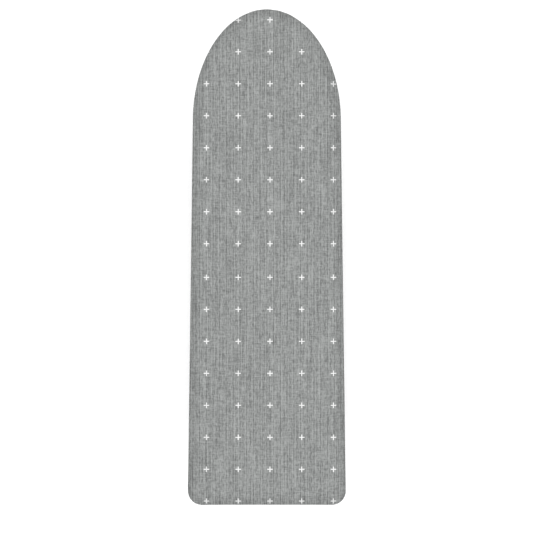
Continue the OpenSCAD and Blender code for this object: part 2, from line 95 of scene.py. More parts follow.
def calc(tree, operation, a, b=0.0, c=0.0):
    """The result of one Math node."""
    node = shade(tree, "ShaderNodeMath", {0: a, 1: b, 2: c}, operation=operation)
    return node.outputs[0]


def span(tree, value, low, high, to_low=0.0, to_high=1.0):
    """A value stretched from one span to another, eased and held at its ends."""
    plugs = {"Value": value, "From Min": low, "From Max": high, "To Min": to_low, "To Max": to_high}
    return shade(tree, "ShaderNodeMapRange", plugs, interpolation_type="SMOOTHSTEP").outputs[0]


def mixed(tree, share, a, b):
    """Two colours mixed by a share."""
    return shade(tree, "ShaderNodeMix", {0: share, 6: a, 7: b}, data_type="RGBA").outputs[2]


def bumped(tree, height, strength, distance):
    """The normal of a surface with a fine relief."""
    plugs = {"Strength": strength, "Distance": distance, "Height": height}
    return shade(tree, "ShaderNodeBump", plugs).outputs[0]


def object_place(tree):
    return shade(tree, "ShaderNodeTexCoord", {}).outputs["Object"]


def noise(tree, place, scale, detail=2.0, roughness=0.5):
    plugs = {"Vector": place, "Scale": scale, "Detail": detail, "Roughness": roughness}
    return shade(tree, "ShaderNodeTexNoise", plugs).outputs["Fac"]


def stretched(tree, place, scale):
    """A place scaled apart along its axes, for patterns longer one way than the other."""
    return shade(tree, "ShaderNodeMapping", {"Vector": place, "Scale": scale}).outputs[0]


def effect_group(name, inputs, outputs):
    """An empty shader group; gives back its tree, its input sockets by name and its output node."""
    tree = bpy.data.node_groups.new(name, "ShaderNodeTree")
    for label, kind, value in inputs:
        socket = tree.interface.new_socket(label, in_out="INPUT", socket_type="NodeSocket" + kind)
        socket.default_value = value
    for label, kind in outputs:
        tree.interface.new_socket(label, in_out="OUTPUT", socket_type="NodeSocket" + kind)
    return tree, tree.nodes.new("NodeGroupInput").outputs, tree.nodes.new("NodeGroupOutput")


def use_group(tree, group, values):
    return shade(tree, "ShaderNodeGroup", values, node_tree=group).outputs


# What an effect on a whole surface puts out
skin_sockets = [("Colour", "Color"), ("Roughness", "Float"), ("Normal", "Vector")]


def skin_of(tree, group, values):
    """Such an effect's outputs, by the shader's names for them."""
    skin = use_group(tree, group, values)
    return {"Base Color": skin["Colour"], "Roughness": skin["Roughness"], "Normal": skin["Normal"]}


def finish_of(name, build, **surface):
    """A material whose Principled BSDF takes constants from surface and patterns from build."""
    material = bpy.data.materials.new(name)
    material.use_nodes = True
    tree = material.node_tree
    bsdf = tree.nodes["Principled BSDF"]
    plug_in(tree, bsdf, {label.replace("_", " ").title().replace("Ior", "IOR"): value
                         for label, value in surface.items()})
    plug_in(tree, bsdf, build(tree))
    return material


def powder_coat_effect():
    """Sprayed and baked powder: orange peel, thickness clouds, fine flakes, scuffs on edges."""
    tree, given, out = effect_group(
        "powder_coat",
        [("Colour", "Color", (0.8, 0.8, 0.8, 1)), ("Peel", "Float", 1.0), ("Scuffs", "Float", 1.0),
         ("Flakes", "Float", 0.0)],
        skin_sockets,
    )
    place = object_place(tree)
    peel = noise(tree, place, 620.0, 3.0, 0.5)
    clouds = noise(tree, place, 14.0, 4.0, 0.55)
    flakes = span(tree, noise(tree, place, 2600.0, 1.0), 0.42, 0.62)
    flakes = calc(tree, "MULTIPLY", given["Flakes"], flakes)
    specks = noise(tree, place, 260.0, 4.0, 0.7)
    edge = shade(tree, "ShaderNodeAttribute", {}, attribute_name="edge").outputs["Fac"]
    worn = calc(tree, "MULTIPLY", edge, span(tree, specks, 0.5, 0.68))
    marks = span(tree, noise(tree, place, 55.0, 6.0, 0.72), 0.66, 0.74)
    scuffed = calc(tree, "MAXIMUM", worn, calc(tree, "MULTIPLY", marks, 0.35))
    scuffed = calc(tree, "MULTIPLY", given["Scuffs"], scuffed)
    shaded = mixed(tree, span(tree, clouds, 0.3, 0.7, 0.0, 0.16), given["Colour"], (0.40, 0.39, 0.37, 1))
    shaded = mixed(tree, calc(tree, "MULTIPLY", flakes, 0.55), shaded, (0.74, 0.75, 0.77, 1))
    colour = mixed(tree, calc(tree, "MULTIPLY", scuffed, 0.6), shaded, (0.25, 0.25, 0.25, 1))
    roughness = span(tree, clouds, 0.2, 0.8, 0.34, 0.46)
    roughness = calc(tree, "MULTIPLY_ADD", scuffed, 0.18, roughness)
    normal = bumped(tree, calc(tree, "MULTIPLY", peel, given["Peel"]), 0.3, 0.0003)
    plug_in(tree, out, {"Colour": colour, "Roughness": roughness, "Normal": normal})
    return tree


powder_coat = powder_coat_effect()


def coated(name, colour, peel=1.0, scuffs=1.0, flakes=0.0, **surface):
    values = {"Colour": colour, "Peel": peel, "Scuffs": scuffs, "Flakes": flakes}
    return finish_of(name, lambda tree: skin_of(tree, powder_coat, values), specular_ior_level=0.5,
                     coat_weight=0.15, coat_roughness=0.28, **surface)


def wear(material, *names):
    """Gives CAD nodes a material in place of their plain one."""
    for name in names:
        for place in nodes[name].material_slots:
            place.material = material


def add_piece(name, bm, material, body, stands_for=()):
    """Makes a finished piece of a bmesh, on its body, in place of its CAD nodes."""
    mesh = bpy.data.meshes.new(name)
    bm.to_mesh(mesh)
    bm.free()
    mesh.polygons.foreach_set("use_smooth", [True] * len(mesh.polygons))
    mesh.materials.append(material)
    piece = bpy.data.objects.new(name, mesh)
    bpy.context.scene.collection.objects.link(piece)
    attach(piece, body)
    if stands_for:
        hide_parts(*stands_for)
    return piece


def eased(name, material, width, sharp=32.0):
    """A CAD node's copy with its sharp edges rolled over, as press and punch leave them."""
    source = nodes[name]
    bm = bmesh.new()
    bm.from_mesh(source.data)
    bmesh.ops.remove_doubles(bm, verts=bm.verts, dist=1e-6)
    bmesh.ops.dissolve_limit(bm, angle_limit=math.radians(0.4), verts=bm.verts, edges=bm.edges)
    crisp = [e for e in bm.edges if e.is_manifold and e.calc_face_angle(0.0) > math.radians(sharp)]
    edge = bm.faces.layers.float.new("edge")
    rolled = bmesh.ops.bevel(bm, geom=crisp, offset=width, offset_type="OFFSET", segments=2, profile=0.5,
                             affect="EDGES", material=-1, clamp_overlap=True, miter_outer="SHARP")["faces"]
    for face in bm.faces:
        face[edge] = 0.0
    for face in rolled:
        face[edge] = 1.0
    piece = add_piece(name + "_eased", bm, material, source["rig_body"], [name])
    weighted = piece.modifiers.new("face_weights", "WEIGHTED_NORMAL")
    weighted.keep_sharp = False
    weighted.weight = 90


deck_white = coated("deck_white", (0.78, 0.78, 0.765, 1), scuffs=0.6)
wear(deck_white, "deck")
for steel in ["rim"] + [f"cross_member_{i}" for i in range(1, 6)]:
    eased(steel, deck_white, 0.0004)

# ------------------------------------------------------------------ felt underlay
# A sheet of grey needled felt, 3 mm thick, cut to the deck's outline and laid loose on it.
# It shows from below through the vents.

MM = 0.001
board_low, board_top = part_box("cover")[0].z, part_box("cover")[1].z
half_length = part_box("cover")[1].y
nose_length = 268 * MM
nose_half = 179 * MM
tail_half = 191 * MM
corner_radius = 34 * MM
shoulder_y = half_length - nose_length
taper = math.atan((tail_half - nose_half) / (2 * half_length - nose_length - corner_radius))
nose_join = math.atan(nose_length / nose_half * math.tan(taper))
spine_from_tail = 170 * MM
spine_from_nose = 250 * MM


def nose_point(turn):
    return np.array([nose_half * math.cos(turn), shoulder_y + nose_length * math.sin(turn)])


def outline_stations(count):
    """Points evenly spaced round the board's outline, with their outward normals."""
    side_reach = nose_point(nose_join) @ [math.cos(taper), math.sin(taper)]
    corner_y = corner_radius - half_length
    corner_x = (side_reach - corner_radius - corner_y * math.sin(taper)) / math.cos(taper)
    fine = 400
    points, normals = [np.array([0.0, -half_length])], [np.array([0.0, -1.0])]
    for step in range(fine + 1):
        turn = -math.pi / 2 + (math.pi / 2 + taper) * step / fine
        normal = np.array([math.cos(turn), math.sin(turn)])
        points.append(np.array([corner_x, corner_y]) + corner_radius * normal)
        normals.append(normal)
    for step in range(8 * fine + 1):
        turn = nose_join + (math.pi / 2 - nose_join) * step / (8 * fine)
        normal = np.array([math.cos(turn) / nose_half, math.sin(turn) / nose_length])
        points.append(nose_point(turn))
        normals.append(normal / np.linalg.norm(normal))
    points, normals = np.array(points), np.array(normals)
    flip = np.array([-1, 1])
    points = np.vstack([points, points[-2::-1] * flip])
    normals = np.vstack([normals, normals[-2::-1] * flip])
    along = np.concatenate([[0], np.cumsum(np.linalg.norm(np.diff(points, axis=0), axis=1))])
    at = along[-1] * np.arange(count) / count
    points = np.column_stack([np.interp(at, along, points[:, k]) for k in (0, 1)])
    normals = np.column_stack([np.interp(at, along, normals[:, k]) for k in (0, 1)])
    return points, normals / np.linalg.norm(normals, axis=1)[:, None], at, along[-1]


def to_spine(points, share):
    """Points moved a share of the way to the board's middle line, which stops short of its ends."""
    spine_y = np.clip(points[:, 1], spine_from_tail - half_length, half_length - spine_from_nose)
    spine = np.column_stack([0 * points[:, 0], spine_y])
    return points + (spine - points) * share


def ring_skin(bm, rings):
    """Skins rings of points that run round the outline, each ring extruded from the one before."""
    count = len(rings[0])
    station = bm.verts.layers.int.new("station")
    made = bmesh.ops.create_circle(bm, cap_ends=False, radius=1.0, segments=count)["verts"]
    for number, vert in enumerate(made):
        vert[station] = number
        vert.co = rings[0][number]
    loop = list(bm.edges)
    for ring in rings[1:]:
        grown = bmesh.ops.extrude_edge_only(bm, edges=loop)["geom"]
        new_verts = {g for g in grown if isinstance(g, bmesh.types.BMVert)}
        for vert in new_verts:
            vert.co = ring[vert[station]]
        loop = [g for g in grown if isinstance(g, bmesh.types.BMEdge) and set(g.verts) <= new_verts]


def lifted(points, height):
    """Flat points given a height, one for all or one each."""
    return np.column_stack([points, np.broadcast_to(height, len(points))])


slab_stations = 360


def layer_slab(edge_profile):
    """A closed slab: rings out from the spine, an edge of (inset, height) steps, rings back below."""
    points, normals, _, _ = outline_stations(slab_stations)
    (first, top), (last, base) = edge_profile[0], edge_profile[-1]
    rings = [lifted(to_spine(points - normals * first, share), top) for share in (1, 0.75, 0.5, 0.25, 0.1)]
    rings += [lifted(points - normals * inset, height) for inset, height in edge_profile]
    rings += [lifted(to_spine(points - normals * last, share), base) for share in (0.1, 0.5, 1)]
    bm = bmesh.new()
    ring_skin(bm, rings)
    bmesh.ops.remove_doubles(bm, verts=bm.verts, dist=1e-5)
    bmesh.ops.recalc_face_normals(bm, faces=bm.faces)
    return bm


def needle_felt(tree):
    place = object_place(tree)
    fibres = noise(tree, stretched(tree, place, (1.0, 3.0, 1.0)), 420.0, 6.0, 0.8)
    tufts = noise(tree, place, 120.0, 3.0)
    colour = mixed(tree, span(tree, fibres, 0.35, 0.65), (0.33, 0.33, 0.32, 1), (0.60, 0.60, 0.58, 1))
    return {"Base Color": colour, "Normal": bumped(tree, calc(tree, "ADD", fibres, tufts), 0.7, 0.0006)}


felt = finish_of("needled_felt", needle_felt, roughness=0.95, specular_ior_level=0.2, sheen_weight=0.25)
felt_low, felt_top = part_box("felt_underlay")[0].z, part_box("felt_underlay")[1].z
felt_inset = 4.8 * MM
felt_edge = [(7.5 * MM, felt_top), (6.2 * MM, felt_top - 0.5 * MM), (5.2 * MM, felt_top - 1.4 * MM),
             (felt_inset, felt_low + 0.6 * MM), (5.4 * MM, felt_low)]
underlay = add_piece("felt_sheet", layer_slab(felt_edge), felt, "board", ["felt_underlay"])

# ------------------------------------------------------------------ foam pad
# A slab of open-cell polyurethane foam, 6 mm thick at the middle. The tight cover rounds its edge
# over, down to the rim.

rounding_w = 27 * MM
rounding_h = 11 * MM
crown_drop = 8.6 * MM
rim_turn = 5 * MM
cloth_t = 0.8 * MM
foam_gap = 0.3 * MM
foam_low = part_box("foam_pad")[0].z


def fall(inset):
    """How far the top has dropped at an inset: a steady curve, then a tight turn at the rim."""
    if inset >= rounding_w:
        return 0.0
    near = 1 - inset / rounding_w
    turn = max(0.0, 1 - inset / rim_turn)
    return crown_drop * near ** 2 + (rounding_h - crown_drop) * (1 - math.sqrt(1 - turn ** 2))


def foam_cells(tree):
    place = object_place(tree)
    cells = shade(tree, "ShaderNodeTexVoronoi", {"Vector": place, "Scale": 900.0}).outputs["Distance"]
    tone = mixed(tree, span(tree, cells, 0.1, 0.6), (0.62, 0.58, 0.44, 1), (0.80, 0.77, 0.64, 1))
    return {"Base Color": tone, "Normal": bumped(tree, cells, 0.8, 0.0004)}


foam = finish_of("open_cell_foam", foam_cells, roughness=0.9, specular_ior_level=0.2)
foam_edge = [(inset * MM, board_top - cloth_t - foam_gap - fall(inset * MM))
             for inset in (27, 23, 19, 16, 13, 11)]
foam_edge += [(10.2 * MM, foam_low + 0.6 * MM), (10.6 * MM, foam_low)]
pad = add_piece("foam_slab", layer_slab(foam_edge), foam, "board", ["foam_pad"])

# ------------------------------------------------------------------ cover
# One piece of slubbed cotton and linen cloth, heather grey with a printed lattice of white plus
# marks. It is cut larger than the top and drawn tight round the edge by the elastic in its hem.

stations = 900
points, normals, along, girth = outline_stations(stations)
draw = random.Random(41)


def waves(reach, low, high, count):
    """Smooth random waves round the outline, from low to high cycles, as high as the reach."""
    total = np.zeros(stations)
    for _ in range(count):
        cycles = draw.randint(low, high)
        turn = draw.uniform(0, 2 * math.pi)
        total += draw.uniform(0.5, 1.0) * np.sin(2 * math.pi * cycles * along / girth + turn)
    return reach * total / np.max(np.abs(total))


# Cloth has to lose length where the outline curves, so the pleats gather at the nose and corners
heading = np.unwrap(np.arctan2(normals[:, 0], normals[:, 1]))
bend = np.abs(np.gradient(heading, along))
spread = 20  # stations each way over which a bend gathers the cloth
full_bend = 11.0  # radians a metre: the bend that gathers it fully
kernel = np.hanning(2 * spread + 1)
bend = np.convolve(np.pad(bend, spread, mode="wrap"), kernel / kernel.sum(), mode="valid")
least_gather = 0.16
gather = np.clip(least_gather + bend / full_bend, least_gather, 1.0)
pleats = np.clip(1.9 * np.abs(waves(1.0, 150, 225, 9)), 0, 1) ** 0.8 * gather
ripples = waves(1.0, 60, 120, 6) * gather
slack = waves(0.35 * MM, 3, 14, 7)

# The cloth's rings from the spine outwards, with each ring's place on the cut cloth and its share of painted
# shade, which darkens the cloth towards the edge
cover_rings, flat_out, ring_edge_shade = [], [], []
for share in (1, 0.9, 0.8, 0.7, 0.6, 0.5, 0.4, 0.3, 0.22, 0.15, 0.1, 0.06, 0.03):
    inner = to_spine(points - normals * rounding_w, share)
    cover_rings.append(lifted(inner, board_top + slack * (1 - share) * 0.6))
    flat_out.append(inner)
    ring_edge_shade.append(0.0)

# Then its section from the flat top over the edge, down the side and in under the rim
side_top = board_top - rounding_h
under_z = board_low + 0.9 * MM
under_turn = 2.2 * MM
side_steps = 4
section = [(inset * MM, board_top - fall(inset * MM))
           for inset in (27, 24.5, 22, 19.5, 17, 14.5, 12, 9.5, 7.2, 5, 3.8, 2.7, 1.8, 1.1, 0.6, 0.25, 0.06)]
section += [(0.0, side_top - step * (side_top - under_z - under_turn) / side_steps)
            for step in range(side_steps + 1)]
section += [(under_turn * (1 - math.cos(turn)), under_z + under_turn * (1 - math.sin(turn)))
            for turn in (0.4, 0.8, 1.2, math.pi / 2)]
section += [(inset * MM, under_z) for inset in (4, 6, 8.5, 11, 13.5, 16, 18, 19.2, 20)]
swell_top = side_top + 6 * MM
pleat_depth, ripple_depth = 3.2 * MM, 0.35 * MM
pleat_swell, ripple_swell = 0.9 * MM, 0.4 * MM
developed = 0.0
for (last_inset, last_height), (inset, height) in zip(section[:1] + section, section):
    if height >= side_top - 0.1 * MM and inset > 0:
        developed += last_inset - inset  # the rounded top is stretched, so it counts as flat
    else:
        developed += math.hypot(inset - last_inset, height - last_height)
    flat_out.append(points - normals * (rounding_w - developed))
    ring_edge_shade.append(min(1.0, (developed / rounding_w) ** 0.8))
    turned_in = height < under_z + 2 * MM
    below = max(0.0, min(1.0, (inset - 1 * MM) / (12 * MM))) * turned_in
    drop = (pleats * pleat_depth + (ripples + 1) * ripple_depth) * below
    down = max(0.0, min(1.0, (swell_top - height) / (swell_top - under_z)))
    swell = ((ripples + 1) * ripple_swell + pleats * pleat_swell) * math.sin(math.pi * down) ** 2
    edge_slack = slack * max(0.0, 1 - developed / (20 * MM)) * 0.6
    cover_rings.append(lifted(points - normals * (inset - swell[:, None]), height - drop + edge_slack))

cover_bm = bmesh.new()
ring_skin(cover_bm, cover_rings)
station = cover_bm.verts.layers.int["station"]
flat_u = cover_bm.verts.layers.float.new("flat_u")
flat_v = cover_bm.verts.layers.float.new("flat_v")
painted_edge_shade = cover_bm.verts.layers.float.new("painted_edge_shade")  # 1 where painted shade darkens the cloth fully, from the rim round to the underside
for number, vert in enumerate(cover_bm.verts):
    ring = number // stations
    vert[flat_u], vert[flat_v] = flat_out[ring][vert[station]]
    vert[painted_edge_shade] = ring_edge_shade[ring]
cut_map = cover_bm.loops.layers.uv.new("cut")
for face in cover_bm.faces:
    for loop in face.loops:
        loop[cut_map].uv = (loop.vert[flat_u], loop.vert[flat_v])
bmesh.ops.remove_doubles(cover_bm, verts=list(cover_bm.verts)[:stations], dist=1e-5)
bmesh.ops.recalc_face_normals(cover_bm, faces=cover_bm.faces)

# Print: a lattice of plus marks. Past the join of two repeats it lies a step further along.
mark_pitch_u = 76.7 * MM
mark_pitch_v = 77.25 * MM
mark_u = 7.55 * MM
mark_v = 32.25 * MM
mark_join = -8.0 * MM
mark_step = 4.0 * MM
mark_size = 13.4 * MM
mark_arm = 2.5 * MM
thread_edge = 0.3 * MM

# For each layer of yarn: its thickness across and along the cloth (none where it runs on), how fast
# its tone changes each way, and how much it shows
run_on = 0.01 * MM
slub_layers = [
    ((1.9 * MM, run_on), (4700.0, 11.0), 0.8),
    ((1.3 * MM, run_on), (5300.0, 90.0), 1.15),
    ((run_on, 1.8 * MM), (60.0, 5900.0), 0.75),
    ((run_on, run_on), (16.0, 8.0), 0.08),
]
# Darker warp threads are woven in at even distances
dark_threads = [(8.14 * MM, 0.14), (5.42 * MM, 0.14)]
band_spacing = math.pi / 10  # of a wave texture's bands, in metres, at a scale of one


def slub_effect():
    """Uneven yarns: broken lengthwise streaks with finer cross threads, as a tone from 0 to 1."""
    tree, given, out = effect_group(
        "slub_yarn", [("Place", "Vector", (0, 0, 0))], [("Tone", "Float"), ("Height", "Float")])
    place = given["Place"]
    tone = 0.5 - 0.5 * sum(layer[-1] for layer in slub_layers + dark_threads)
    for yarn, scale, weight in slub_layers:
        plugs = {0: place, 1: yarn + (1.0,)}
        strand = shade(tree, "ShaderNodeVectorMath", plugs, operation="SNAP").outputs[0]
        layer = noise(tree, stretched(tree, strand, scale + (1.0,)), 1.0, 1.0, 0.6)
        tone = calc(tree, "MULTIPLY_ADD", layer, weight, tone)
    for spacing, weight in dark_threads:
        line = shade(tree, "ShaderNodeTexWave", {"Vector": place, "Scale": band_spacing / spacing},
                     wave_type="BANDS", bands_direction="X").outputs["Fac"]
        tone = calc(tree, "MULTIPLY_ADD", line, weight, tone)
    height = calc(tree, "MULTIPLY", tone, 0.9)
    for way in ("X", "Y"):
        plugs = {"Vector": place, "Scale": 350.0, "Distortion": 0.6, "Detail": 1.0}
        ribs = shade(tree, "ShaderNodeTexWave", plugs, wave_type="BANDS", bands_direction=way)
        height = calc(tree, "MULTIPLY_ADD", ribs.outputs["Fac"], 0.5, height)
    plug_in(tree, out, {"Tone": tone, "Height": height})
    return tree


slub_yarn = slub_effect()


def off_line(tree, value, start, pitch):
    """Distance from the nearest of evenly spaced lines."""
    steps = calc(tree, "DIVIDE", calc(tree, "SUBTRACT", value, start), pitch)
    past = calc(tree, "SUBTRACT", steps, calc(tree, "ROUND", steps))
    return calc(tree, "ABSOLUTE", calc(tree, "MULTIPLY", past, pitch))


def plus_marks(tree, u, v, ragged):
    """1 inside the printed marks, with edges a thread wide."""
    past_join = calc(tree, "LESS_THAN", v, mark_join)
    v = calc(tree, "MULTIPLY_ADD", past_join, mark_step, v)
    du = calc(tree, "ADD", off_line(tree, u, mark_u, mark_pitch_u), ragged)
    dv = calc(tree, "ADD", off_line(tree, v, mark_v, mark_pitch_v), ragged)
    inside = []
    for a, b in ((du, dv), (dv, du)):
        arm = span(tree, a, mark_arm / 2 - thread_edge, mark_arm / 2 + thread_edge, 1.0, 0.0)
        reach = span(tree, b, mark_size / 2 - 0.4 * MM, mark_size / 2 + 0.4 * MM, 1.0, 0.0)
        inside.append(calc(tree, "MULTIPLY", arm, reach))
    return calc(tree, "MAXIMUM", *inside)


def printed_cloth(tree):
    place = shade(tree, "ShaderNodeUVMap", {}, uv_map="cut").outputs[0]
    yarn = use_group(tree, slub_yarn, {"Place": place})
    parts = shade(tree, "ShaderNodeSeparateXYZ", {0: place}).outputs
    ragged = calc(tree, "SUBTRACT", noise(tree, place, 900.0, 2.0), 0.5)
    marks = plus_marks(tree, parts[0], parts[1], calc(tree, "MULTIPLY", ragged, 0.9 * MM))
    tone = span(tree, yarn["Tone"], 0.0, 1.0)
    ground = mixed(tree, tone, (0.130, 0.134, 0.132, 1), (0.352, 0.363, 0.357, 1))
    ink = mixed(tree, tone, (0.66, 0.665, 0.66, 1), (0.84, 0.84, 0.835, 1))
    # Painted shade: the cloth is darkened by up to 16 % from where the top starts to round over to the rim
    # and below, as the edge turns away from the light above
    painted_edge_shade = shade(tree, "ShaderNodeAttribute", {}, attribute_name="painted_edge_shade").outputs["Fac"]
    shadow = calc(tree, "MULTIPLY", painted_edge_shade, 0.16)
    cloth = mixed(tree, shadow, mixed(tree, marks, ground, ink), (0.03, 0.03, 0.03, 1))
    return {"Base Color": cloth, "Normal": bumped(tree, yarn["Height"], 0.35, 0.0003)}


cover_cloth = finish_of("printed_slub_cloth", printed_cloth, roughness=0.88, specular_ior_level=0.22,
                        sheen_weight=0.12, sheen_roughness=0.4)
cover = add_piece("cloth_cover", cover_bm, cover_cloth, "board", ["cover"])
thickness = cover.modifiers.new("cloth_thickness", "SOLIDIFY")
thickness.thickness = cloth_t
thickness.offset = -1

# ------------------------------------------------------------------ elastic hem
# Round woven elastic runs in a narrow ruched binding at the cover's edge, under the board. The
# binding is sewn on with one line of lock stitches.


def sweep(bm, path, radius, across, sides=8, closed=False):
    """A round cord along a path: a flat grid wrapped round it, its two long edges then joined."""
    path = np.asarray(path, float)
    radius = np.broadcast_to(radius, len(path))
    if closed:
        path = np.vstack([path, path[:1]])
        radius = np.append(radius, radius[0])
    ahead = np.gradient(path, axis=0)
    if closed:
        ahead[0] = ahead[-1] = path[1] - path[-2]
    ahead /= np.linalg.norm(ahead, axis=1)[:, None]
    side = np.cross(ahead, across)
    side /= np.linalg.norm(side, axis=1)[:, None]
    rise = np.cross(side, ahead)
    made = bmesh.ops.create_grid(bm, x_segments=len(path) - 1, y_segments=sides, size=0.5)["verts"]
    for vert in made:
        row = round((vert.co.x + 0.5) * (len(path) - 1))
        turn = 2 * math.pi * (vert.co.y + 0.5)
        off = side[row] * math.cos(turn) + rise[row] * math.sin(turn)
        vert.co = path[row] + radius[row] * off
    bmesh.ops.remove_doubles(bm, verts=made, dist=2e-6)
    open_ends = [e for e in bm.edges if e.is_boundary]
    if open_ends:
        bmesh.ops.holes_fill(bm, edges=open_ends, sides=0)
    bmesh.ops.recalc_face_normals(bm, faces=bm.faces)


def knit_elastic(tree):
    place = object_place(tree)
    plugs = {"Vector": place, "Scale": 260.0, "Distortion": 3.0, "Detail": 2.0}
    ribs = shade(tree, "ShaderNodeTexWave", plugs, bands_direction="DIAGONAL").outputs["Fac"]
    fuzz = noise(tree, place, 1300.0, 3.0, 0.7)
    tone = mixed(tree, span(tree, ribs, 0.2, 0.8), (0.46, 0.46, 0.45, 1), (0.72, 0.72, 0.70, 1))
    return {"Base Color": tone, "Normal": bumped(tree, calc(tree, "ADD", ribs, fuzz), 0.5, 0.0003)}


elastic = finish_of("knitted_elastic", knit_elastic, roughness=0.85, specular_ior_level=0.25,
                    sheen_weight=0.2)
ruches = 740
ruche_steps = 4
binding_r = 1.75 * MM
ruche_rise = 0.45 * MM


def round_the_hem(ring):
    """A ring's values at even steps, a few to each ruche."""
    at = np.linspace(0, stations, ruches * ruche_steps, endpoint=False)
    return np.column_stack([np.interp(at, np.arange(stations), column, period=stations) for column in ring.T])


hem_path = round_the_hem(cover_rings[-1])
hem_path[:, :2] -= round_the_hem(normals) * 1.3 * MM
hem_path[:, 2] += 0.4 * MM
ruche = np.abs(np.sin(np.pi * np.arange(len(hem_path)) / ruche_steps))
uneven = np.array([draw.uniform(0.6, 1.2) for _ in range(ruches)]).repeat(ruche_steps)
bm = bmesh.new()
sweep(bm, hem_path, binding_r + ruche_rise * ruche * uneven, (0, 0, 1), closed=True)
binding = add_piece("ruched_binding", bm, elastic, "board", ["hem_elastic"])

# Lock stitches, one to each station of the fourth ring from the cloth's cut edge
stitch_line = [Vector(point) for point in cover_rings[-4]]
stitches_at_once = 20
bm = bmesh.new()
for first in range(0, stations, stitches_at_once):
    few = bmesh.new()
    for start in range(first, first + stitches_at_once):
        one, two = stitch_line[start], stitch_line[(start + 1) % stations]
        along_stitch = two - one
        turn = along_stitch.to_track_quat("X", "Z").to_matrix().to_4x4()
        size = Matrix.Diagonal((along_stitch.length * 0.40, 0.36 * MM, 0.30 * MM, 1))
        middle = Matrix.Translation((one + two) / 2 - Vector((0, 0, 0.12 * MM)))
        bmesh.ops.create_uvsphere(few, u_segments=6, v_segments=4, radius=1.0, matrix=middle @ turn @ size)
    row = bpy.data.meshes.new("stitch_row")
    few.to_mesh(row)
    few.free()
    bm.from_mesh(row)
    bpy.data.meshes.remove(row)


def spun_thread(tree):
    place = object_place(tree)
    plugs = {"Vector": place, "Scale": 900.0, "Distortion": 2.0}
    twist = shade(tree, "ShaderNodeTexWave", plugs, bands_direction="DIAGONAL").outputs["Fac"]
    return {"Base Color": mixed(tree, twist, (0.42, 0.42, 0.42, 1), (0.66, 0.66, 0.65, 1))}


thread = finish_of("sewing_thread", spun_thread, roughness=0.7, sheen_weight=0.2)
stitches = add_piece("hem_stitches", bm, thread, "board")

# ------------------------------------------------------------------ fixed hinge
# Four laser-cut ears hang under the first cross member. A plain zinc-plated axle runs through them
# and the outer legs' eyes, with domed plastic caps pushed on its ends.


def plated_effect():
    """Zinc plate: drawn streaks, cloudy passivation and a few dull specks."""
    tree, given, out = effect_group(
        "zinc_plate", [("Colour", "Color", (0.6, 0.6, 0.62, 1)), ("Grain", "Vector", (1, 1, 1))],
        skin_sockets,
    )
    place = object_place(tree)
    plugs = {0: place, 1: given["Grain"]}
    drawn = shade(tree, "ShaderNodeVectorMath", plugs, operation="MULTIPLY").outputs[0]
    streaks = noise(tree, drawn, 300.0, 5.0, 0.65)
    clouds = noise(tree, place, 70.0, 5.0, 0.6)
    specks = span(tree, noise(tree, place, 420.0, 3.0, 0.6), 0.64, 0.72)
    tone = mixed(tree, span(tree, clouds, 0.35, 0.65), given["Colour"], (0.50, 0.53, 0.56, 1))
    tone = mixed(tree, calc(tree, "MULTIPLY", specks, 0.5), tone, (0.26, 0.26, 0.26, 1))
    rough = calc(tree, "MULTIPLY_ADD", specks, 0.25, span(tree, streaks, 0.3, 0.7, 0.24, 0.42))
    plug_in(tree, out, {"Colour": tone, "Roughness": rough, "Normal": bumped(tree, streaks, 0.12, 0.0001)})
    return tree


zinc_plate = plated_effect()


def plated(name, grain):
    values = {"Colour": (0.66, 0.67, 0.68, 1), "Grain": grain}
    return finish_of(name, lambda tree: skin_of(tree, zinc_plate, values), metallic=0.92)


def moulded_effect():
    """Spark-eroded mould grain, with slightly polished places."""
    tree, given, out = effect_group(
        "mould_grain", [("Colour", "Color", (0.1, 0.1, 0.1, 1)), ("Grain", "Float", 1.0)],
        skin_sockets,
    )
    place = object_place(tree)
    grain = noise(tree, place, 1500.0, 3.0, 0.6)
    rubbed = noise(tree, place, 35.0, 4.0, 0.6)
    dust = span(tree, noise(tree, place, 90.0, 6.0, 0.75), 0.5, 0.75)
    colour = mixed(tree, calc(tree, "MULTIPLY", dust, 0.22), given["Colour"], (0.42, 0.41, 0.40, 1))
    rough = span(tree, rubbed, 0.3, 0.7, 0.42, 0.62)
    normal = bumped(tree, calc(tree, "MULTIPLY", grain, given["Grain"]), 0.25, 0.00012)
    plug_in(tree, out, {"Colour": colour, "Roughness": rough, "Normal": normal})
    return tree


mould_grain = moulded_effect()


def moulded(name, colour, grain=1.0, **surface):
    values = {"Colour": colour, "Grain": grain}
    return finish_of(name, lambda tree: skin_of(tree, mould_grain, values), **surface)


turned_zinc = plated("zinc_turned_rod", (0.05, 1.0, 1.0))
pressed_zinc = plated("zinc_pressed_sheet", (1.0, 0.3, 0.6))
dark_plastic = moulded("dark_nylon", (0.035, 0.036, 0.039, 1), specular_ior_level=0.5)
for side in ("left", "right"):
    eased("hinge_ears_" + side, pressed_zinc, 0.0003)
wear(turned_zinc, "hinge_axle")
wear(dark_plastic, "hinge_axle_caps")

# ------------------------------------------------------------------ guide rails and lock rod
# Two C-shaped roll-formed rails are spot welded to the cross members, with stops at their ends.
# Between them the round lock rod is held in two hanging brackets by a nut at each end.

for side in ("left", "right"):
    eased("guide_rail_" + side, pressed_zinc, 0.0004)
eased("rail_stops", pressed_zinc, 0.0003)
eased("rod_brackets", deck_white, 0.0004)
eased("rod_nuts", pressed_zinc, 0.0005, sharp=50)
along_zinc = plated("zinc_drawn_rod", (1.0, 0.05, 1.0))
wear(along_zinc, "lock_rod")

# ------------------------------------------------------------------ leg frames
# Each frame is two round tubes, a brace and a foot bar of thin-walled steel tube, welded together
# and powder coated silver grey. Ribbed rubber caps cover the foot bar's ends.

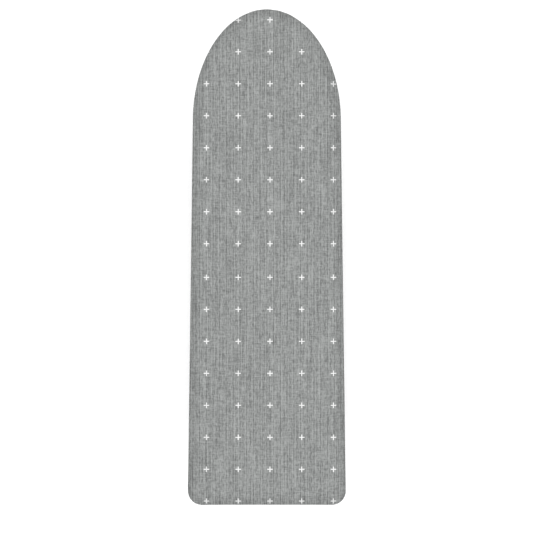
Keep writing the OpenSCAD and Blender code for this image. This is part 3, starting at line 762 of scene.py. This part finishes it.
leg_paint = coated("leg_silver_grey", (0.36, 0.365, 0.37, 1), peel=0.6, flakes=0.6, metallic=0.25)
weld_ripples = 22
ripple_steps = 6
weld_steps = weld_ripples * ripple_steps
bead_r = 1.25 * MM
ripple_rise = 0.35 * MM


def centre_of(name):
    low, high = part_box(name)
    return (low + high) / 2


def half_height(name):
    low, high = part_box(name)
    return (high.z - low.z) / 2


def leg_lines(leg, pivot):
    """The lines where a leg frame's brace and foot bar meet its two tubes, each with its axis."""
    foot, brace = centre_of(leg + "_foot_bar"), centre_of(leg + "_brace")
    foot_r, brace_r = half_height(leg + "_foot_bar"), half_height(leg + "_brace")
    down = (foot - pivot).normalized()
    aside = down.cross(Vector((1, 0, 0)))
    low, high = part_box(leg + "_tube_right")
    tube_x, tube_r = (low.x + high.x) / 2, (high.x - low.x) / 2
    lines = []
    for side in (-1, 1):
        saddle, joint = [], []
        for step in range(weld_steps):
            turn = 2 * math.pi * step / weld_steps
            off = tube_r * math.sin(turn)
            back = math.sqrt(foot_r ** 2 - off ** 2)
            across = Vector((side * tube_x + tube_r * math.cos(turn), 0, 0))
            saddle.append(foot - down * back + aside * off + across)
            off = brace_r * math.sin(turn)
            across = Vector((side * (tube_x - math.sqrt(tube_r ** 2 - off ** 2)), 0, 0))
            joint.append(brace + down * brace_r * math.cos(turn) + aside * off + across)
        lines += [(saddle, down), (joint, Vector((1, 0, 0)))]
    return lines


def weld_beads(leg, pivot):
    """Beads along those lines, rippled and uneven as a hand torch leaves them."""
    ripple = np.abs(np.sin(np.pi * np.arange(weld_steps) / ripple_steps))
    bm = bmesh.new()
    for line, axis in leg_lines(leg, pivot):
        strength = np.array([draw.uniform(0.9, 1.1) for _ in range(weld_ripples)]).repeat(ripple_steps)
        sweep(bm, [list(p) for p in line], (bead_r + ripple_rise * ripple) * strength, axis, closed=True)
    return bm


def ribbed_cap(cap, foot_bar):
    """A rubber cap turned about its foot bar: a rolled lip, five ribs and a domed end."""
    low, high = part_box(cap)
    outward = 1 if low.x > 0 else -1
    start, length = (low.x if outward > 0 else high.x), high.x - low.x
    outer, bore = half_height(cap), half_height(foot_bar) + 0.05 * MM
    section = [(bore, 26 * MM), (bore, 0.5 * MM), (bore + 0.5 * MM, 0.0), (outer - 1.2 * MM, 0.0),
               (outer - 0.3 * MM, 0.4 * MM), (outer, 1.4 * MM), (outer, 3.6 * MM)]
    ribs, rib_pitch, groove, rib_round = 5, 4.4 * MM, 0.9 * MM, 0.25 * MM
    for rib in range(ribs):
        at = (rib + 1) * rib_pitch
        section += [(outer - groove, at), (outer - groove, at + 1.0 * MM),
                    (outer - rib_round, at + 1.5 * MM), (outer, at + 2.1 * MM),
                    (outer - rib_round, at + 3.2 * MM)]
    dome = 6 * MM
    section += [(outer - dome + dome * math.cos(turn), length - dome + dome * math.sin(turn))
                for turn in np.radians([0, 18, 36, 54, 72, 90])]
    section += [(outer * 0.3, length), (0.0, length)]
    middle = (low + high) / 2
    bm = bmesh.new()
    verts = [bm.verts.new((start + outward * x, middle.y, middle.z + r)) for r, x in section]
    edges = [bm.edges.new(pair) for pair in zip(verts, verts[1:])]
    bmesh.ops.spin(bm, geom=verts + edges, cent=(0, middle.y, middle.z), axis=(1, 0, 0),
                   angle=2 * math.pi, steps=48, use_merge=True)
    bmesh.ops.remove_doubles(bm, verts=bm.verts, dist=1e-6)
    bmesh.ops.holes_fill(bm, edges=[e for e in bm.edges if e.is_boundary], sides=0)
    bmesh.ops.recalc_face_normals(bm, faces=bm.faces)
    return bm


rubber = moulded("grey_rubber", (0.042, 0.042, 0.044, 1), grain=1.6, specular_ior_level=0.35)
pivots = {"outer": centre_of("hinge_axle"), "inner": centre_of("slide_axle")}
for part, pivot in pivots.items():
    wear(leg_paint, part + "_tube_left", part + "_tube_right", part + "_foot_bar", part + "_brace")
    add_piece(part + "_welds", weld_beads(part, pivot), leg_paint, part + "_leg")
    for side in ("left", "right"):
        cap = part + "_foot_cap_" + side
        bm = ribbed_cap(cap, part + "_foot_bar")
        add_piece(cap + "_ribbed", bm, rubber, part + "_leg", [cap])

# ------------------------------------------------------------------ crossing pivots, sliding axle
# The frames cross on two shouldered bolts with nylon spacers, washers and nuts. The inner frame's
# upper axle carries a nylon glide at each end, which runs in a rail.

eased("pivot_bolts", turned_zinc, 0.0004)
eased("pivot_nuts", pressed_zinc, 0.0006, sharp=50)
eased("pivot_washers", pressed_zinc, 0.0002)
eased("pivot_spacers", dark_plastic, 0.0003)
wear(turned_zinc, "slide_axle")
for side in ("left", "right"):
    eased("glide_" + side, dark_plastic, 0.0003)

# ------------------------------------------------------------------ height lock
# A nylon block rides on the sliding axle and the rod. A steel jaw, tilted by a wound spring, grips
# the rod; two pins carry the jaw and the lever.

eased("carriage_block", dark_plastic, 0.0007)
eased("lock_jaw", pressed_zinc, 0.0004)
wear(turned_zinc, "jaw_pin", "lever_pin")

spring_low, spring_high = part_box("jaw_spring")
spring_l = spring_high.y - spring_low.y
wire_r = 0.7 * MM
coil_turns = 5
coil_steps = coil_turns * 36
coil_r = (spring_high.x - spring_low.x) / 2 - wire_r
coil_z = (spring_low.z + spring_high.z) / 2
coil_path = []
for step in range(coil_steps + 1):
    share = step / coil_steps
    turn = 2 * math.pi * coil_turns * share
    eased_in = 0.5 - 0.5 * math.cos(math.pi * share)  # the end turns lie closer than the middle ones
    y = spring_low.y + wire_r + (spring_l - 2 * wire_r) * (0.6 * share + 0.4 * eased_in)
    coil_path.append((coil_r * math.cos(turn), y, coil_z + coil_r * math.sin(turn)))
bm = bmesh.new()
sweep(bm, coil_path, wire_r, (0, 1, 0), sides=10)
spring = add_piece("wound_spring", bm, turned_zinc, "lock_carriage", ["jaw_spring"])
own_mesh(spring)

# ------------------------------------------------------------------ release lever
# A flat steel arm reaches towards the tail, and its moulded grip has a soft wave for each finger
# on the underside and a rounded end.

eased("lever_arm", pressed_zinc, 0.0005)
grip_slope = math.radians(8)
grip_low, grip_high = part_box("lever_grip")
grip_half_w = (grip_high.x - grip_low.x) / 2
grip_half_t = 6 * MM
grip_l = 64 * MM
grip_from = 48 * MM
finger_pitch = 15 * MM
finger_wave = 0.9 * MM
grip_waist = 0.10
end_size, end_power = 0.25, 14
wide_power, thick_power = 0.75, 0.62
grip_sides, grip_rings = 36, 40
lever_axis = centre_of("lever_pin")
back = Vector((0, -math.cos(grip_slope), -math.sin(grip_slope)))
up = Vector((0, -math.sin(grip_slope), math.cos(grip_slope)))
bm = bmesh.new()
side_of = bm.verts.layers.int.new("side")
ring = bmesh.ops.create_circle(bm, cap_ends=False, radius=1.0, segments=grip_sides)["verts"]
for number, vert in enumerate(ring):
    vert[side_of] = number
loop = list(bm.edges)
for step in range(grip_rings + 1):
    share = step / grip_rings
    if step:
        grown = bmesh.ops.extrude_edge_only(bm, edges=loop)["geom"]
        ring = {g for g in grown if isinstance(g, bmesh.types.BMVert)}
        loop = [g for g in grown if isinstance(g, bmesh.types.BMEdge) and set(g.verts) <= ring]
    full = end_size + (1 - end_size) * math.sqrt(1 - abs(2 * share - 1) ** end_power)
    waist = 1 - grip_waist * math.sin(math.pi * share) ** 2
    reach = grip_from + grip_l * share
    wave = finger_wave * math.sin(2 * math.pi * grip_l * share / finger_pitch) * math.sin(math.pi * share)
    for vert in ring:
        turn = 2 * math.pi * vert[side_of] / grip_sides
        across, height = math.cos(turn), math.sin(turn)
        wide = grip_half_w * waist * full * math.copysign(abs(across) ** wide_power, across)
        thick = grip_half_t * full * math.copysign(abs(height) ** thick_power, height)
        thick += wave * max(0.0, -height)
        vert.co = lever_axis + back * reach + up * thick + Vector((wide, 0, 0))
bmesh.ops.holes_fill(bm, edges=[e for e in bm.edges if e.is_boundary], sides=0)
bmesh.ops.recalc_face_normals(bm, faces=bm.faces)
add_piece("moulded_grip", bm, dark_plastic, "release_lever", ["lever_grip"])

# ------------------------------------------------------------------ transport hook
# A bent nylon hook swings on a pin between two small ears, and holds the folded legs' brace.

eased("hook_bracket", pressed_zinc, 0.0003)
eased("transport_hook", dark_plastic, 0.0006)
wear(turned_zinc, "hook_pin")

# ------------------------------------------------------------------ studio
# A pale floor under a soft sun straight overhead and an even white sky. The camera looks straight
# down at the board from about three metres above it.

floor_half = 40.0
floor_bm = bmesh.new()
bmesh.ops.create_grid(floor_bm, x_segments=1, y_segments=1, size=floor_half)
floor_mesh = bpy.data.meshes.new("floor")
floor_bm.to_mesh(floor_mesh)
floor_bm.free()
floor = bpy.data.objects.new("floor", floor_mesh)
bpy.context.scene.collection.objects.link(floor)
pale_floor = finish_of("pale_floor", lambda tree: {}, base_color=(0.93, 0.93, 0.93, 1), roughness=0.9,
                       specular_ior_level=0.1)
floor_mesh.materials.append(pale_floor)

# The floor is clear from below, so the underside can be seen through it
floor_tree = pale_floor.node_tree
plugs = {
    0: shade(floor_tree, "ShaderNodeNewGeometry", {}).outputs["Backfacing"],
    1: floor_tree.nodes["Principled BSDF"].outputs[0],
    2: shade(floor_tree, "ShaderNodeBsdfTransparent", {}).outputs[0],
}
one_sided = shade(floor_tree, "ShaderNodeMixShader", plugs)
floor_tree.links.new(one_sided.outputs[0], floor_tree.nodes["Material Output"].inputs[0])

world = bpy.data.worlds.new("studio")
bpy.context.scene.world = world
world.use_nodes = True
sky = world.node_tree
fill, backdrop = 0.30, 0.86
seen = shade(sky, "ShaderNodeLightPath", {}).outputs["Is Camera Ray"]
strength = span(sky, seen, 0.0, 1.0, fill, backdrop)
plug_in(sky, sky.nodes["Background"], {"Color": (1, 1, 1, 1), "Strength": strength})

sun = bpy.data.lights.new("overhead_light", "SUN")
sun.energy = 3.12
sun.angle = math.radians(20)
lamp = bpy.data.objects.new("overhead_light", sun)
bpy.context.scene.collection.objects.link(lamp)

camera_data = bpy.data.cameras.new("camera")
camera_data.lens = 85
camera_data.sensor_width = 36
camera = bpy.data.objects.new("camera", camera_data)
view_width = 1291.6 * MM
aim = Vector((-0.85 * MM, -22.8 * MM, board_top - rounding_h))
distance = view_width * camera_data.lens / camera_data.sensor_width
camera.location = aim + Vector((0, 0, distance))
bpy.context.scene.collection.objects.link(camera)
bpy.context.scene.camera = camera
bpy.context.scene.view_settings.view_transform = "Standard"
